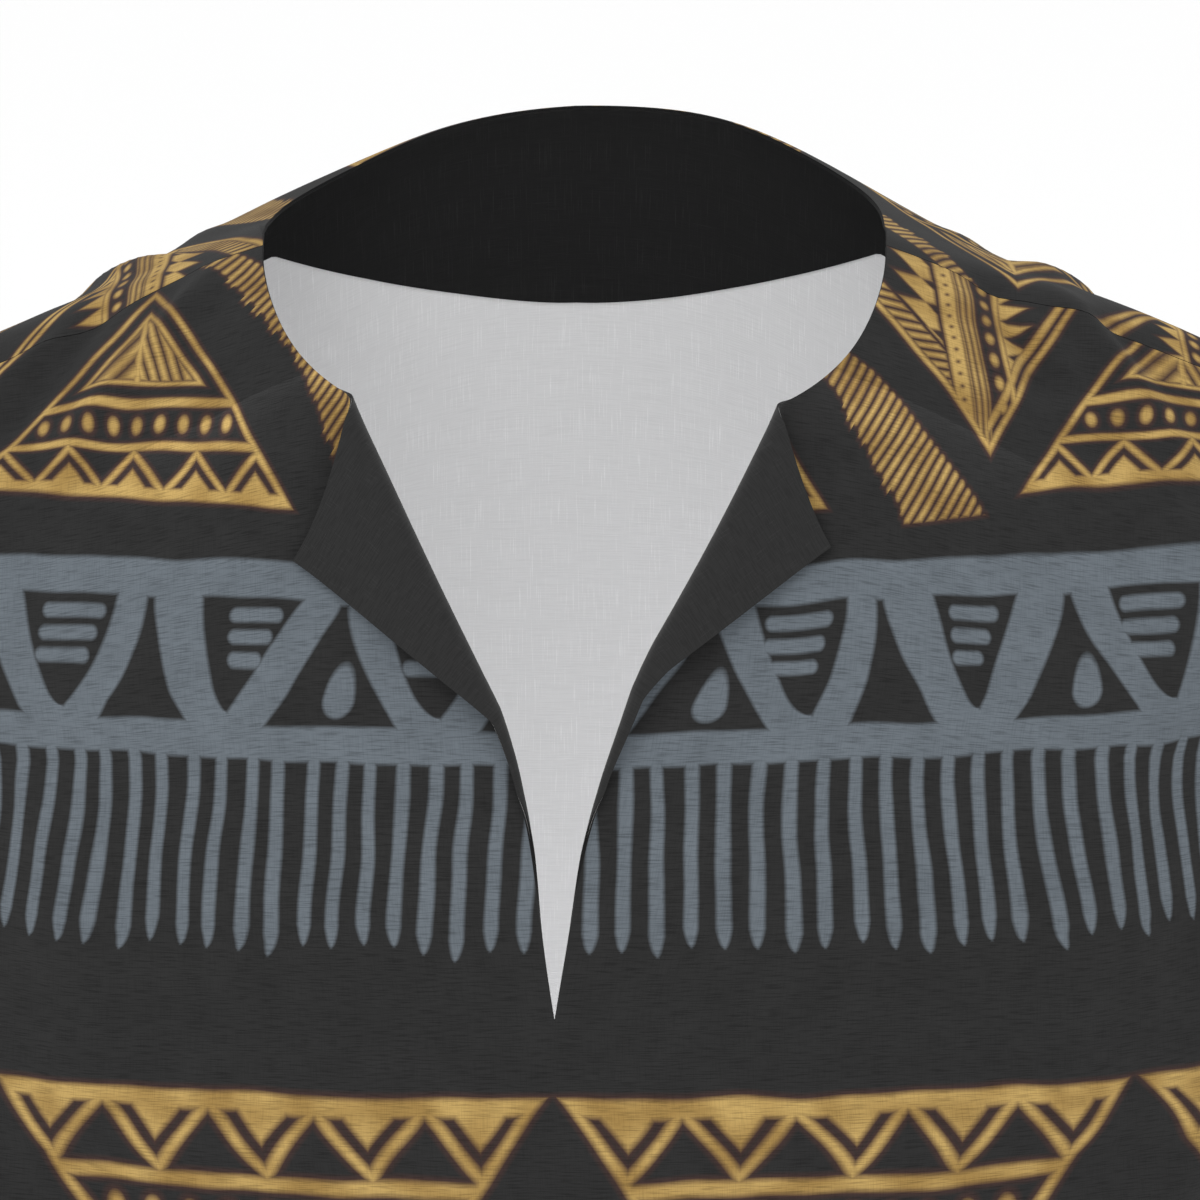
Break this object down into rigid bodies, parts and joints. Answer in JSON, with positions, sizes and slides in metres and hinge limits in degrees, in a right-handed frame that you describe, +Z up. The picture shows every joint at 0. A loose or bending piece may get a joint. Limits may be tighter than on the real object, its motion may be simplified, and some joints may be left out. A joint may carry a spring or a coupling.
{
  "type": "dashiki shirt",
  "caption": "Loose pullover shirt with a slit neck whose corners turn out, short straight sleeves and geometric bands of print.",
  "frame": {"origin": "midway between the two side neck points, where the shoulder seams meet the neckline and the wearer's shoulders hold the shirt", "axes": "+X to the viewer's right, the front faces -Y, +Z up"},
  "size_m": [0.8283, 0.2532, 0.7607],
  "materials": {
    "print_cloth": "matte woven",
    "facing_cloth": "matte woven"
  },
  "bodies": {
    "root": {"front": "print_cloth", "back": "print_cloth", "sleeve_left": "print_cloth", "sleeve_right": "print_cloth", "front_facing": "facing_cloth", "back_facing": "facing_cloth"}
  },
  "joints": []
}
